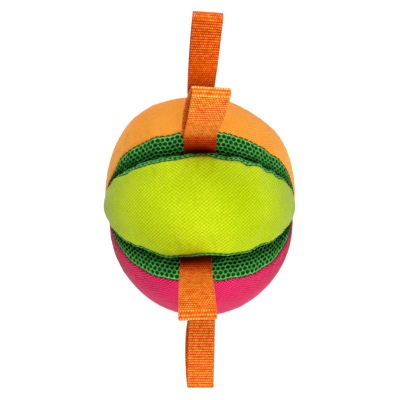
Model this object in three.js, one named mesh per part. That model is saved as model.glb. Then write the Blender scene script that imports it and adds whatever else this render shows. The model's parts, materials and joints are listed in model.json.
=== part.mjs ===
// A stuffed fabric tug ball: six padded wedge segments sewn side by side round one spine, like the
// segments of an orange, with a folded webbing loop standing out of each groove between them.
// Millimetres, +Z up. The spine runs along X. The ball lies on its bottom segment, whose crown is
// pressed flat, and the origin is the centre of that flat patch.
// Angles round the spine are measured from +Z (the top segment) towards +Y (the rear).
import * as THREE from 'three';

// ---- driving dimensions -------------------------------------------------------------------------
const SEGMENT_COUNT = 6;
const GROOVE_HALF_ANGLE = Math.PI / SEGMENT_COUNT;   // a segment's centre plane to its groove plane
const SPINE_HEIGHT = 78;          // spine above the floor; less than CROWN_RADIUS: the pad is pressed

const CROWN_RADIUS = 83;          // spine to the top of a segment's outer panel
const SEAM_RADIUS = 78.9;         // spine to the seam between outer panel and mesh side
const SEAM_ANGLE = THREE.MathUtils.degToRad(22.7);   // seam off the segment's centre plane
const SHOULDER_START = 61;        // where the straight mesh side turns over into its round shoulder
const GROOVE_CLEARANCE = 2.2;     // mesh side to groove plane at the ball's middle
const GROOVE_CLEARANCE_TIP = 0.6; // the same where the segments meet at the spine's ends
const CROWN_HALF_LENGTH = 72;     // along the spine, at the crown
const SPINE_HALF_LENGTH = 60;     // along the spine, at the segments' inner edges
const TIP_LATITUDE = THREE.MathUtils.degToRad(84);   // where a segment's pointed end is cut off
const FILLING_LATITUDE = THREE.MathUtils.degToRad(70);
const LATITUDE_POWER = 0.92;      // below 1 makes the ends fuller than a plain cosine
const END_FULLNESS = 0.1;         // how much wider a segment is near its ends, as a share

const PANEL_THICKNESS = 1.2;      // woven outer panel
const MESH_THICKNESS = 2.5;       // three-layer air mesh side panel
const LAYER_GAP = 0.8;            // between the stuffing and the fabric round it
const FULL_THICKNESS_SCALE = 0.3; // fabric gets thinner where the segment is smaller than this share
const SEAM_ALLOWANCE = 0.8;       // each panel stops this far short of the seam line
const INNER_EDGE_GAP = 0.8;       // mesh sides stop this far before the line where they would meet
const INNER_EDGE_SHARE = 0.9;     // and leave at least the rest of the straight side at the tips
const SHOULDER_TURN_MIN = 0.2;    // radians of shoulder that are kept where the seam allowance is large
const FILLING_CORNER_TURN = 0.25; // radians of shoulder that the stuffing stays short of the seam
const THREAD_RADIUS = 0.45;
const THREAD_TIP_LOOP = 3 * THREAD_RADIUS;   // the thread turns round the tip this far outside it

const CORE_RADIUS = 7.2;
const CORE_HALF_LENGTH = 56;

const STRAP_WIDTH = 20;
const STRAP_THICKNESS = 1.3;      // one layer of webbing
const STEM_HALF_THICKNESS = 1.5;  // two layers and the slack between them, inside the groove
const STRAP_INNER_RADIUS = 8.1;   // where the webbing is sewn to the core
const HINGE_RADIUS = 84;          // the groove's mouth, where a loop bends
const HINGE_CLEARANCE = 0.35;
const FOLD_CORNER = 1.0;          // the fold at a loop's tip is nearly square
const LOOP_START = 0.06;          // share of the loop taken by the rounded base at its hinge
const HOLE_START = 0.16;          // share of the loop before its two layers part

const LATITUDE_STEPS = 12;
const FILLING_STEPS = 10;
const CROWN_STEPS = 6;
const SHOULDER_STEPS = 2;
const SIDE_STEPS = 2;
const LOOP_STEPS = 11;
const HOLE_STEPS = 9;
const BASE_STEPS = 4;
const CORE_FACETS = 16;

const LIME = { color: 0xc8df1c, roughness: 0.6 };
const ORANGE = { color: 0xf2963c, roughness: 0.6 };
const PINK = { color: 0xdc265b, roughness: 0.6 };
const GREEN_MESH = { color: 0x2a6a2e, roughness: 0.95 };
const WEBBING = { color: 0xe06a22, roughness: 0.85 };
const STUFFING = { color: 0xf2f0ea, roughness: 1.0 };
const BINDING = { color: 0x2a5a2c, roughness: 0.9 };

// Each segment: its name, fabric colour and angle round the spine in degrees.
const SEGMENTS = [
  { name: 'lime_top', fabric: LIME, angle: 0 },
  { name: 'orange_rear', fabric: ORANGE, angle: 60 },
  { name: 'pink_rear', fabric: PINK, angle: 120 },
  { name: 'lime_bottom', fabric: LIME, angle: 180, restDepth: SPINE_HEIGHT },
  { name: 'orange_front', fabric: ORANGE, angle: -120 },
  { name: 'pink_front', fabric: PINK, angle: -60 },
];

// Each strap: the angle of its groove; the angle from the groove plane towards larger angles at which
// the loop leaves the mouth, and the one at which its tip lies (degrees); its reach from the mouth;
// how far it runs before it curves; its skew along the spine; how far its belly and fold stand open.
const STRAPS = [
  { name: 'top_rear', groove: 30, leave: -4, lean: -10.6, reach: 51, run: 18, skew: 6, ...openBy(2.7, 2.8) },
  { name: 'rear', groove: 90, leave: -36, lean: -53, reach: 67.5, run: 16, skew: 5, ...openBy(3.4, 3.8) },
  { name: 'bottom_rear', groove: 150, leave: -50, lean: -57.5, reach: 56, run: 9, skew: 0, ...openBy(1.9, 2.8) },
  { name: 'bottom_front', groove: -150, leave: 50, lean: 57.5, reach: 56, run: 9, skew: 0, ...openBy(1.9, 2.8) },
  { name: 'front', groove: -90, leave: 0, lean: 0, reach: 53.5, run: 20, skew: 0, ...openBy(2.7, 2.8) },
  { name: 'top_front', groove: -30, leave: 5, lean: 11.6, reach: 46.7, run: 16, skew: -1.5, ...openBy(2.7, 2.8) },
];

function openBy(belly, fold) {
  return { belly, fold };
}

// ---- solids from rings and grids of points ------------------------------------------------------
function signedVolume(points, faces) {
  const cross = new THREE.Vector3();
  let sum = 0;
  for (const [a, b, c] of faces) {
    sum += points[a].dot(cross.crossVectors(points[b], points[c])) / 6;
  }
  return sum;
}

function solidGeometry(points, faces) {
  const outward = signedVolume(points, faces) > 0 ? faces : faces.map(([a, b, c]) => [a, c, b]);
  const geometry = new THREE.BufferGeometry().setFromPoints(points);
  geometry.setIndex(outward.flat());
  geometry.computeVertexNormals();
  return geometry;
}

function quad(faces, a, b, c, d) {
  faces.push([a, b, c], [a, c, d]);
}

// A sheet with thickness: two grids of the same rows and columns, joined round their rims.
function sheetSolid(outerGrid, innerGrid) {
  const rows = outerGrid.length;
  const columns = outerGrid[0].length;
  const points = [...outerGrid.flat(), ...innerGrid.flat()];
  const outer = (row, column) => row * columns + column;
  const inner = (row, column) => rows * columns + outer(row, column);
  const faces = [];
  for (let row = 0; row < rows - 1; row++) {
    for (let column = 0; column < columns - 1; column++) {
      const next = [row + 1, column + 1];
      quad(faces, outer(row, column), outer(row, next[1]), outer(...next), outer(next[0], column));
      quad(faces, inner(row, column), inner(next[0], column), inner(...next), inner(row, next[1]));
    }
  }
  const rim = (from, to) => quad(faces, outer(...from), outer(...to), inner(...to), inner(...from));
  for (let row = 0; row < rows - 1; row++) {
    rim([row, 0], [row + 1, 0]);
    rim([row + 1, columns - 1], [row, columns - 1]);
  }
  for (let column = 0; column < columns - 1; column++) {
    rim([0, column + 1], [0, column]);
    rim([rows - 1, column], [rows - 1, column + 1]);
  }
  return solidGeometry(points, faces);
}

// A lofted body through rings of the same point count: capped at both ends, or joined into a loop.
function loftSolid(rings, closedLoop) {
  const count = rings[0].length;
  const points = rings.flat();
  const faces = [];
  const spans = closedLoop ? rings.length : rings.length - 1;
  for (let ring = 0; ring < spans; ring++) {
    const next = (ring + 1) % rings.length;
    for (let i = 0; i < count; i++) {
      const j = (i + 1) % count;
      quad(faces, ring * count + i, ring * count + j, next * count + j, next * count + i);
    }
  }
  if (!closedLoop) {
    const last = (rings.length - 1) * count;
    for (let i = 1; i < count - 1; i++) {
      faces.push([0, i + 1, i], [last, last + i, last + i + 1]);
    }
  }
  return solidGeometry(points, faces);
}

function steps(count, first, last) {
  return Array.from({ length: count + 1 }, (_, i) => first + (last - first) * i / count);
}

function part(name, geometry, look) {
  const mesh = new THREE.Mesh(geometry, new THREE.MeshStandardMaterial({ ...look, metalness: 0 }));
  mesh.name = name;
  return mesh;
}

// ---- a segment's cross-section ------------------------------------------------------------------
// At the ball's middle, seen along the spine: u runs outward from the spine, v sideways. The outer
// panel is an arc through the crown and both seams; each mesh side is a straight line beside the
// groove that turns over through a round shoulder and ends at the seam.
const SEAM_U = SEAM_RADIUS * Math.cos(SEAM_ANGLE);
const SEAM_V = SEAM_RADIUS * Math.sin(SEAM_ANGLE);
const CROWN_RISE = CROWN_RADIUS - SEAM_U;
const CROWN_ARC_RADIUS = (CROWN_RISE ** 2 + SEAM_V ** 2) / (2 * CROWN_RISE);
const CROWN_ARC_ANGLE = Math.asin(SEAM_V / CROWN_ARC_RADIUS);

const grooveSide = (u, clearance) =>
  (u * Math.sin(GROOVE_HALF_ANGLE) - clearance) / Math.cos(GROOVE_HALF_ANGLE);
const SIDE_NORMAL = { u: -Math.sin(GROOVE_HALF_ANGLE), v: Math.cos(GROOVE_HALF_ANGLE) };
const SHOULDER_V = grooveSide(SHOULDER_START, GROOVE_CLEARANCE);
const toSeam = { u: SEAM_U - SHOULDER_START, v: SEAM_V - SHOULDER_V };
const SHOULDER_RADIUS = -(toSeam.u ** 2 + toSeam.v ** 2)
  / (2 * (toSeam.u * SIDE_NORMAL.u + toSeam.v * SIDE_NORMAL.v));
const SHOULDER_CENTRE = {
  u: SHOULDER_START - SHOULDER_RADIUS * SIDE_NORMAL.u,
  v: SHOULDER_V - SHOULDER_RADIUS * SIDE_NORMAL.v,
};
const SHOULDER_FIRST = Math.atan2(SEAM_V - SHOULDER_CENTRE.v, SEAM_U - SHOULDER_CENTRE.u);
const SHOULDER_LAST = Math.atan2(SIDE_NORMAL.v, SIDE_NORMAL.u);

function crownPoint(angle) {
  return {
    u: CROWN_RADIUS - CROWN_ARC_RADIUS * (1 - Math.cos(angle)),
    v: CROWN_ARC_RADIUS * Math.sin(angle),
    normal: { u: Math.cos(angle), v: Math.sin(angle) },
  };
}

function shoulderPoint(angle) {
  return {
    u: SHOULDER_CENTRE.u + SHOULDER_RADIUS * Math.cos(angle),
    v: SHOULDER_CENTRE.v + SHOULDER_RADIUS * Math.sin(angle),
    normal: { u: Math.cos(angle), v: Math.sin(angle) },
  };
}

function sidePoint(u) {
  return { u, v: grooveSide(u, GROOVE_CLEARANCE), normal: SIDE_NORMAL };
}

// Measures at one latitude, the angle along a segment from its middle (0) towards its pointed ends.
function latitude(angle) {
  const cosine = Math.cos(angle);
  const scale = cosine ** LATITUDE_POWER;
  return {
    sine: Math.sin(angle),
    scale,
    fullness: 1 + END_FULLNESS * Math.sin(angle) ** 2,
    clearance: GROOVE_CLEARANCE_TIP + (GROOVE_CLEARANCE - GROOVE_CLEARANCE_TIP) * cosine,
    fabricScale: Math.min(1, scale / FULL_THICKNESS_SCALE),
  };
}

// Places a section point at a latitude, sunk below the segment's surface by `depth`, on side +1 or -1.
// The segment stands along +Z from the spine; `restDepth` is where the floor cuts it.
function place(point, at, depth, side, restDepth = Infinity) {
  const sunk = depth * at.fabricScale;
  const surfaceU = point.u * at.scale;
  const surfaceV = Math.min(point.v * at.scale * at.fullness, grooveSide(surfaceU, at.clearance));
  const u = Math.min(surfaceU - sunk * point.normal.u, restDepth - sunk);
  const v = surfaceV - sunk * point.normal.v;
  const outwardShare = THREE.MathUtils.clamp(point.u / CROWN_RADIUS, 0, 1);
  const halfLength = THREE.MathUtils.lerp(SPINE_HALF_LENGTH, CROWN_HALF_LENGTH, outwardShare);
  return new THREE.Vector3(halfLength * at.sine, side * v, u);
}

// The inner edge of the mesh side: just outside the line where both sides would meet.
function innerEdge(at, depth) {
  const meeting = (at.clearance + depth * at.fabricScale) / Math.sin(GROOVE_HALF_ANGLE);
  return (meeting + INNER_EDGE_GAP) / at.scale;
}

// ---- a segment's pieces -------------------------------------------------------------------------
const tipLatitudes = steps(LATITUDE_STEPS, -TIP_LATITUDE, TIP_LATITUDE).map(latitude);

function outerPanel(segment) {
  const trim = at => SEAM_ALLOWANCE / (CROWN_ARC_RADIUS * at.scale);
  const grid = depth => tipLatitudes.map(at => {
    const edge = CROWN_ARC_ANGLE - trim(at);
    return steps(CROWN_STEPS, -edge, edge).map(angle => {
      const point = crownPoint(Math.abs(angle));
      return place(point, at, depth, Math.sign(angle) || 1, segment.restDepth);
    });
  });
  return sheetSolid(grid(0), grid(PANEL_THICKNESS));
}

function meshSide(side) {
  const trim = at => SEAM_ALLOWANCE / (SHOULDER_RADIUS * at.scale);
  const grid = depth => tipLatitudes.map(at => {
    const inner = innerEdge(at, MESH_THICKNESS);
    const first = Math.min(SHOULDER_FIRST + trim(at), SHOULDER_LAST - SHOULDER_TURN_MIN);
    const shoulder = steps(SHOULDER_STEPS, first, SHOULDER_LAST);
    const last = Math.min(inner, SHOULDER_START * INNER_EDGE_SHARE);
    const straight = steps(SIDE_STEPS, SHOULDER_START, last).slice(1);
    return [...shoulder.map(shoulderPoint), ...straight.map(sidePoint)]
      .map(point => place(point, at, depth, side));
  });
  return sheetSolid(grid(0), grid(MESH_THICKNESS));
}

function filling(segment) {
  const panelDepth = PANEL_THICKNESS + LAYER_GAP;
  const meshDepth = MESH_THICKNESS + LAYER_GAP;
  const cornerAngle = CROWN_ARC_ANGLE - meshDepth / CROWN_ARC_RADIUS;
  const shoulder = steps(SHOULDER_STEPS, SHOULDER_FIRST + FILLING_CORNER_TURN, SHOULDER_LAST).map(shoulderPoint);
  const rings = steps(FILLING_STEPS, -FILLING_LATITUDE, FILLING_LATITUDE).map(latitude).map(at => {
    const crown = steps(CROWN_STEPS, -cornerAngle, cornerAngle).map(angle =>
      place(crownPoint(Math.abs(angle)), at, panelDepth, Math.sign(angle) || 1, segment.restDepth));
    const straight = steps(SIDE_STEPS, SHOULDER_START, innerEdge(at, meshDepth)).slice(1).map(sidePoint);
    const sides = [...shoulder, ...straight];
    const plus = sides.map(point => place(point, at, meshDepth, 1));
    const minus = sides.map(point => place(point, at, meshDepth, -1));
    return [...crown, ...plus, ...minus.reverse()];
  });
  return loftSolid(rings, false);
}

// One thread line runs round the whole segment in the gap between outer panel and mesh sides.
function seamThread() {
  const seam = crownPoint(CROWN_ARC_ANGLE);
  const line = side => tipLatitudes.map(at => place(seam, at, PANEL_THICKNESS / 2, side));
  const path = [...line(1), ...line(-1).reverse()];
  const lastRow = LATITUDE_STEPS;
  const tipRows = [0, lastRow, lastRow + 1, 2 * lastRow + 1];
  for (const row of tipRows) {
    path[row].x += Math.sign(path[row].x) * THREAD_TIP_LOOP;
  }
  const rings = path.map((point, i) => {
    const ahead = path[(i + 1) % path.length];
    const behind = path[(i + path.length - 1) % path.length];
    const along = new THREE.Vector3().subVectors(ahead, behind).normalize();
    const outward = new THREE.Vector3(point.x * 0.5, point.y, point.z).normalize();
    const across = new THREE.Vector3().crossVectors(along, outward).normalize();
    const up = new THREE.Vector3().crossVectors(across, along);
    return [[1, 0], [0, 1], [-1, 0], [0, -1]].map(([a, b]) =>
      point.clone().addScaledVector(across, a * THREAD_RADIUS).addScaledVector(up, b * THREAD_RADIUS));
  });
  return loftSolid(rings, true);
}

function makeSegment(segment) {
  const group = new THREE.Group();
  group.rotation.x = -THREE.MathUtils.degToRad(segment.angle);
  group.add(part(`${segment.name}_outer_panel`, outerPanel(segment), segment.fabric));
  group.add(part(`${segment.name}_mesh_side_a`, meshSide(1), GREEN_MESH));
  group.add(part(`${segment.name}_mesh_side_b`, meshSide(-1), GREEN_MESH));
  group.add(part(`${segment.name}_filling`, filling(segment), STUFFING));
  group.add(part(`${segment.name}_seam_thread`, seamThread(), segment.fabric));
  return group;
}

// ---- the webbing straps -------------------------------------------------------------------------
// Strap profiles are drawn in the plane across the spine: first coordinate sideways towards larger
// angles, second coordinate outward along the groove. They are extruded along the spine.
function loopCentreLine(strap) {
  const fromMouth = (distance, degrees) => {
    const angle = THREE.MathUtils.degToRad(degrees);
    return new THREE.Vector2(distance * Math.sin(angle), HINGE_RADIUS + distance * Math.cos(angle));
  };
  return new THREE.QuadraticBezierCurve(
    fromMouth(0, 0), fromMouth(strap.run, strap.leave), fromMouth(strap.reach, strap.lean));
}

function loopHalfThickness(strap, t) {
  const belly = strap.belly * Math.sin(Math.PI * t) ** 2;
  return THREE.MathUtils.lerp(STEM_HALF_THICKNESS, strap.fold, t) + belly;
}

// Points beside the centre line at distance halfWidth(t), on side +1 or -1.
function besideLine(line, ts, halfWidth, side) {
  return ts.map(t => {
    const along = line.getTangentAt(t);
    const across = new THREE.Vector2(along.y, -along.x);
    return line.getPointAt(t).addScaledVector(across, side * halfWidth(t));
  });
}

function strapLoop(strap) {
  const line = loopCentreLine(strap);
  const length = line.getLength();
  const halfThickness = t => loopHalfThickness(strap, t);
  const gapHalf = t => halfThickness(t) - STRAP_THICKNESS;
  const outerTs = steps(LOOP_STEPS, LOOP_START, 1 - FOLD_CORNER / length);
  const minus = besideLine(line, outerTs, halfThickness, -1);
  const plus = besideLine(line, outerTs, halfThickness, 1);
  const foldMinus = besideLine(line, [1], t => halfThickness(t) - FOLD_CORNER, -1);
  const foldPlus = besideLine(line, [1], t => halfThickness(t) - FOLD_CORNER, 1);
  const leave = THREE.MathUtils.degToRad(strap.leave);
  const base = steps(BASE_STEPS, -leave, Math.PI - leave).map(angle => new THREE.Vector2(
    STEM_HALF_THICKNESS * Math.cos(angle), HINGE_RADIUS - STEM_HALF_THICKNESS * Math.sin(angle)));
  const shape = new THREE.Shape([...base, ...minus, ...foldMinus, ...foldPlus, ...plus.reverse()]);
  const gapTs = steps(HOLE_STEPS, HOLE_START, 1 - STRAP_THICKNESS / length);
  shape.holes.push(new THREE.Path([
    ...besideLine(line, gapTs, gapHalf, 1),
    ...besideLine(line, gapTs, gapHalf, -1).reverse(),
  ]));
  const geometry = new THREE.ExtrudeGeometry(shape, { depth: STRAP_WIDTH, bevelEnabled: false });
  geometry.translate(0, 0, -STRAP_WIDTH / 2);
  geometry.applyMatrix4(new THREE.Matrix4().makeBasis(
    new THREE.Vector3(0, 1, 0), new THREE.Vector3(0, 0, 1), new THREE.Vector3(1, 0, 0)));
  skewAlongReach(geometry, strap);
  return geometry;
}

// The loop drifts sideways along the spine the further it is from the groove's mouth.
function skewAlongReach(geometry, strap) {
  const positions = geometry.attributes.position;
  for (let i = 0; i < positions.count; i++) {
    const sideways = positions.getY(i);
    const outward = positions.getZ(i) - HINGE_RADIUS;
    const share = Math.max(0, Math.hypot(sideways, outward) - 2 * STEM_HALF_THICKNESS) / strap.reach;
    positions.setX(i, positions.getX(i) + strap.skew * share);
  }
  geometry.computeVertexNormals();
}

function strapRoot() {
  const top = HINGE_RADIUS - STEM_HALF_THICKNESS - HINGE_CLEARANCE;
  const length = top - STRAP_INNER_RADIUS;
  const geometry = new THREE.BoxGeometry(STRAP_WIDTH, 2 * STEM_HALF_THICKNESS, length);
  geometry.translate(0, 0, STRAP_INNER_RADIUS + length / 2);
  return geometry;
}

function makeStrap(strap) {
  const group = new THREE.Group();
  group.rotation.x = -THREE.MathUtils.degToRad(strap.groove);
  group.add(part(`${strap.name}_strap_root`, strapRoot(), WEBBING));
  group.add(part(`${strap.name}_strap_loop`, strapLoop(strap), WEBBING));
  return group;
}

// ---- the core -----------------------------------------------------------------------------------
function coreBinding() {
  const geometry = new THREE.CylinderGeometry(CORE_RADIUS, CORE_RADIUS, 2 * CORE_HALF_LENGTH, CORE_FACETS);
  geometry.rotateZ(Math.PI / 2);
  return geometry;
}

const ball = new THREE.Group();
ball.position.z = SPINE_HEIGHT;
ball.add(part('core_binding', coreBinding(), BINDING));
for (const segment of SEGMENTS) {
  ball.add(makeSegment(segment));
}
for (const strap of STRAPS) {
  ball.add(makeStrap(strap));
}

export default ball;
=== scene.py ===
import json
import math

import bpy
import numpy as np
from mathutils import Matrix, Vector, noise


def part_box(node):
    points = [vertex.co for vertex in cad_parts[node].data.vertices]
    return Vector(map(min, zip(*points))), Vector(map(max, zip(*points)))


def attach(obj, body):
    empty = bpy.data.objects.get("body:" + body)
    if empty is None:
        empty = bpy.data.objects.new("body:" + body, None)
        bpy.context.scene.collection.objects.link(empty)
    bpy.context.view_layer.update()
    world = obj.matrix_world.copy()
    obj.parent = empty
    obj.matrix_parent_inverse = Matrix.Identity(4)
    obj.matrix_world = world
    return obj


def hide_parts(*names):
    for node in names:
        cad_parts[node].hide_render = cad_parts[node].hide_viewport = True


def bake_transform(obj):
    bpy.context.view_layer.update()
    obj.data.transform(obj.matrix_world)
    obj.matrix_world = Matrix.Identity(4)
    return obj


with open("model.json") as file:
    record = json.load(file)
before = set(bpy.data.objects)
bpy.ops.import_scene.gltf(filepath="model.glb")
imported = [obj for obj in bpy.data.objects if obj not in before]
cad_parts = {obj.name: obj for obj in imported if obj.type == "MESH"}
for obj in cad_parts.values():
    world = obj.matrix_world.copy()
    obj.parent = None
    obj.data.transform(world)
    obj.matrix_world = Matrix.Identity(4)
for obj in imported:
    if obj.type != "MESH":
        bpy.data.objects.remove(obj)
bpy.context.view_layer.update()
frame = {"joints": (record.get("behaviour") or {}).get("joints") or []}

# A stuffed fabric tug ball of six padded wedges round a spine along X, with a webbing loop in each
# groove. All lengths are in metres. Angles round the spine run from +Z (top) towards +Y (rear).

MM = 0.001

# ---- measures taken from the frame ----
core_low, core_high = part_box("core_binding")
SPINE_Z = (core_low[2] + core_high[2]) / 2
CORE_RADIUS = (core_high[2] - core_low[2]) / 2
CORE_HALF_LENGTH = (core_high[0] - core_low[0]) / 2
CROWN_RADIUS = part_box("lime_top_outer_panel")[1][2] - SPINE_Z
JOINTS = {joint["child"]: joint for joint in frame["joints"]}
HINGE_RADIUS = JOINTS["rear_loop"]["pos_m"][1]

# ---- driving dimensions of the soft shapes ----
GROOVE_HALF_ANGLE = math.radians(30)
SEAM_RADIUS = 78.9 * MM  # from the spine to a seam, which lies SEAM_ANGLE off the crown
SEAM_ANGLE = math.radians(22.7)
SHOULDER_START = 61 * MM  # where a mesh side leaves its groove and turns over to the seam
GROOVE_CLEARANCE = 2.2 * MM  # from a mesh side to the middle of its groove
GROOVE_CLEARANCE_TIP = 0.6 * MM
CROWN_HALF_LENGTH = 72 * MM
SPINE_HALF_LENGTH = 60 * MM
TIP_LATITUDE = math.radians(87.5)
LATITUDE_POWER = 0.92  # below 1, a wedge stays fuller towards its tips than a ball does
END_FULLNESS = 0.1
INNER_EDGE_MARGIN = 1.0 * MM

STRAP_WIDTH = 20 * MM
STRAP_THICKNESS = 1.3 * MM
STEM_HALF_THICKNESS = 1.5 * MM
STRAP_INNER_RADIUS = 8.1 * MM

# How each wedge came out of the sewing: length is a share; squareness is the exponent of its outline
# from the side, at its minus and its plus seam; slide and overhang are in mm, and overhang is how far
# each mesh side may stand out past its seam. A dent is (seam: 1 for plus, -1 for minus; place along the
# spine, how far it sinks, how far it draws in, half width, reach from the seam), in mm.
SEGMENTS = [
    {"name": "lime_top", "colour": "lime", "angle": -0.6, "length": 0.98, "squareness": (2.1, 2.1),
     "slide": -0.9, "overhang": (9, 0.6),
     "dents": [(1, 44.5, 2.8, 1.8, 3, 10), (1, 31, 2.0, 2.0, 3.5, 8), (1, 53, 1.6, 1.1, 2.5, 8),
               (1, -50, 1.2, 2.4, 6, 8), (1, 1, -2.8, -2.0, 11, 12), (-1, 1, 2.6, 1.8, 8, 10),
               (-1, -36, 1.0, 0.7, 5, 7), (-1, 40, 1.0, 0.7, 6, 8), (-1, -62, 0, 4.5, 9, 10),
               (-1, 60, 0, 3.5, 9, 10)]},
    {"name": "orange_rear", "colour": "orange", "angle": 60, "length": 0.993, "squareness": (2.4, 2.6),
     "slide": -0.5, "overhang": (9, 9),
     "dents": [(-1, 0, 1.5, 1.0, 7, 9), (-1, -40, 0.8, 0.6, 5, 8), (-1, 47, 1.2, 0.8, 5, 8),
               (1, 40, 5, 3.5, 17, 40), (-1, -65, 5, -2, 9, 12), (-1, 66, 2, -1, 7, 10)]},
    {"name": "pink_rear", "colour": "pink", "angle": 120, "length": 0.98, "squareness": (2.2, 2.2),
     "slide": 0.8, "overhang": (9, 9), "dents": [(1, -20, 1.2, 0.8, 5, 8), (-1, 30, 1.2, 0.8, 5, 8)]},
    {"name": "lime_bottom", "colour": "lime", "angle": 180, "length": 0.98, "squareness": (2.2, 2.2),
     "slide": 0, "overhang": (9, 9), "dents": [(1, 25, 1.0, 0.7, 5, 8), (-1, -30, 1.0, 0.7, 5, 8)]},
    {"name": "orange_front", "colour": "orange", "angle": -120, "length": 0.96, "squareness": (2.3, 2.3),
     "slide": 0, "overhang": (9, 9), "dents": [(1, 35, 1.2, 0.8, 5, 8), (-1, -15, 1.4, 1.0, 5, 8)]},
    {"name": "pink_front", "colour": "pink", "angle": -60, "length": 0.958, "squareness": (2.08, 2.2),
     "slide": 0.3, "overhang": (9, 9),
     "dents": [(1, 0, 1.5, 1.0, 7, 9), (1, 42, 1.0, 0.7, 4, 8), (1, -45, 0.8, 0.6, 4, 8),
               (1, -40, -2.6, 1.2, 18, 14), (1, 44, -2.8, 1.2, 18, 14)]},
]

# ---- camera, floor and light ----
CAMERA_DISTANCE = 365 * MM
SENSOR_WIDTH = 36  # in mm, as the lens is
CAMERA_LENS = 43.2
CAMERA_SHIFT = (-0.0019, 0.0163)

AMBIENT_STRENGTH = 0.27
BACKDROP_WHITE = 0.93  # what the camera sees beyond the floor
FLOOR_HALF_SIZE = 6.0
FLOOR_WHITE = 0.74
FLOOR_ROUGHNESS = 0.9
FLOOR_GLOW = 0.5
SOFTBOX_SIZE = 0.7
# Each softbox: name, location, watts.
SOFTBOXES = [("front_softbox", (0.34, -0.62, 0.90), 8.3), ("rear_softbox", (-0.10, 0.72, 0.88), 7.5)]


def add_camera():
    data = bpy.data.cameras.new("camera")
    data.sensor_width = SENSOR_WIDTH
    data.lens = CAMERA_LENS
    data.shift_x, data.shift_y = CAMERA_SHIFT
    camera = bpy.data.objects.new("camera", data)
    camera.location = (0, 0, SPINE_Z + CAMERA_DISTANCE)
    bpy.context.collection.objects.link(camera)
    bpy.context.scene.camera = camera


def add_world(scene):
    """Even white light from all round, and a white backdrop for the camera."""
    world = bpy.data.worlds.new("world")
    world.use_nodes = True
    tree = world.node_tree
    lighting = tree.nodes["Background"]
    set_sockets(tree, lighting, {"Color": (1, 1, 1, 1), "Strength": AMBIENT_STRENGTH})
    backdrop = new_node(tree, "ShaderNodeBackground", {"Color": (*[BACKDROP_WHITE] * 3, 1)})
    light_path = new_node(tree, "ShaderNodeLightPath")
    chosen = new_node(tree, "ShaderNodeMixShader", {
        "Fac": light_path.outputs["Is Camera Ray"], 1: lighting.outputs[0], 2: backdrop.outputs[0]})
    set_sockets(tree, tree.nodes["World Output"], {"Surface": chosen.outputs["Shader"]})
    scene.world = world


def add_floor():
    half = FLOOR_HALF_SIZE
    material, shader = new_material("floor_white", [FLOOR_WHITE] * 3, FLOOR_ROUGHNESS)
    set_sockets(material.node_tree, shader, {"Emission Color": (1, 1, 1, 1), "Emission Strength": FLOOR_GLOW})
    corners = [(-half, -half, 0), (half, -half, 0), (half, half, 0), (-half, half, 0)]
    floor = new_object("floor", corners, [(0, 1, 2, 3)], [material])


def add_softbox(name, location, power):
    """A round light that faces the ball."""
    data = bpy.data.lights.new(name, "AREA")
    data.shape = "DISK"
    data.size = SOFTBOX_SIZE
    data.energy = power
    light = bpy.data.objects.new(name, data)
    light.location = location
    direction = Vector((0, 0, SPINE_Z)) - Vector(location)
    light.rotation_euler = direction.to_track_quat("-Z", "Y").to_euler()
    bpy.context.collection.objects.link(light)


def add_stage():
    scene = bpy.context.scene
    scene.view_settings.view_transform = "Standard"
    scene.view_settings.look = "None"
    add_world(scene)
    add_floor()
    for name, location, power in SOFTBOXES:
        add_softbox(name, location, power)


# ---- materials ----
DYE_SCALE = 30  # cells of noise to a metre: uneven dye, and single fibres
FIBRE_SCALE = 1200
FIBRE_SHARE = 0.6
YARN_GRAIN_SCALE = 420
YARN_GRAIN_SHARE = 1.1
WEAVE_ACROSS = 0.85  # pitch of a weave across the cloth, as a share of that along it
RISING_SHARE = 0.6  # rows that climb to the right stand out more than the others
END_POWER = 4  # how suddenly the painted shade at a segment's ends comes on


def set_sockets(tree, made, sockets):
    """Gives each named or numbered input a value, or joins another node's output to it."""
    for name, value in sockets.items():
        if isinstance(value, bpy.types.NodeSocket):
            tree.links.new(value, made.inputs[name])
        else:
            made.inputs[name].default_value = value


def new_node(tree, kind, sockets=None):
    made = tree.nodes.new(kind)
    set_sockets(tree, made, sockets or {})
    return made


def new_material(name, colour, roughness):
    material = bpy.data.materials.new(name)
    material.use_nodes = True
    shader = material.node_tree.nodes["Principled BSDF"]
    set_sockets(material.node_tree, shader, {"Base Color": (*colour, 1), "Roughness": roughness})
    return material, shader


def math_node(tree, operation, *values):
    """The result of a Math node; each value is a number or another node's output."""
    made = new_node(tree, "ShaderNodeMath", dict(enumerate(values)))
    made.operation = operation
    return made.outputs[0]


def ramp(tree, factor, stops):
    """Colours along a factor. The stops are (position, colour), with the two outermost first."""
    made = new_node(tree, "ShaderNodeValToRGB", {"Fac": factor})
    elements = made.color_ramp.elements
    for i, (position, colour) in enumerate(stops):
        element = elements[i] if i < 2 else elements.new(position)
        element.position = position
        element.color = (*colour, 1)
    return made.outputs["Color"]


def weave_height(tree, pitch):
    """Staggered rows of bumps, -1 to 1, in the piece's flat cloth coordinates (metres)."""
    cloth = new_node(tree, "ShaderNodeUVMap")
    cloth.uv_map = "cloth"
    parts = new_node(tree, "ShaderNodeSeparateXYZ", {"Vector": cloth.outputs["UV"]})
    along = math_node(tree, "MULTIPLY", parts.outputs["X"], 2 * math.pi / pitch)
    across = math_node(tree, "MULTIPLY", parts.outputs["Y"], 2 * math.pi / (WEAVE_ACROSS * pitch))
    rising = math_node(tree, "COSINE", math_node(tree, "SUBTRACT", along, across))
    falling = math_node(tree, "COSINE", math_node(tree, "ADD", along, across))
    weaker = math_node(tree, "MULTIPLY", falling, 1 - RISING_SHARE)
    return math_node(tree, "MULTIPLY_ADD", rising, RISING_SHARE, weaker)


def object_place(tree):
    return new_node(tree, "ShaderNodeTexCoord").outputs["Object"]


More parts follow.
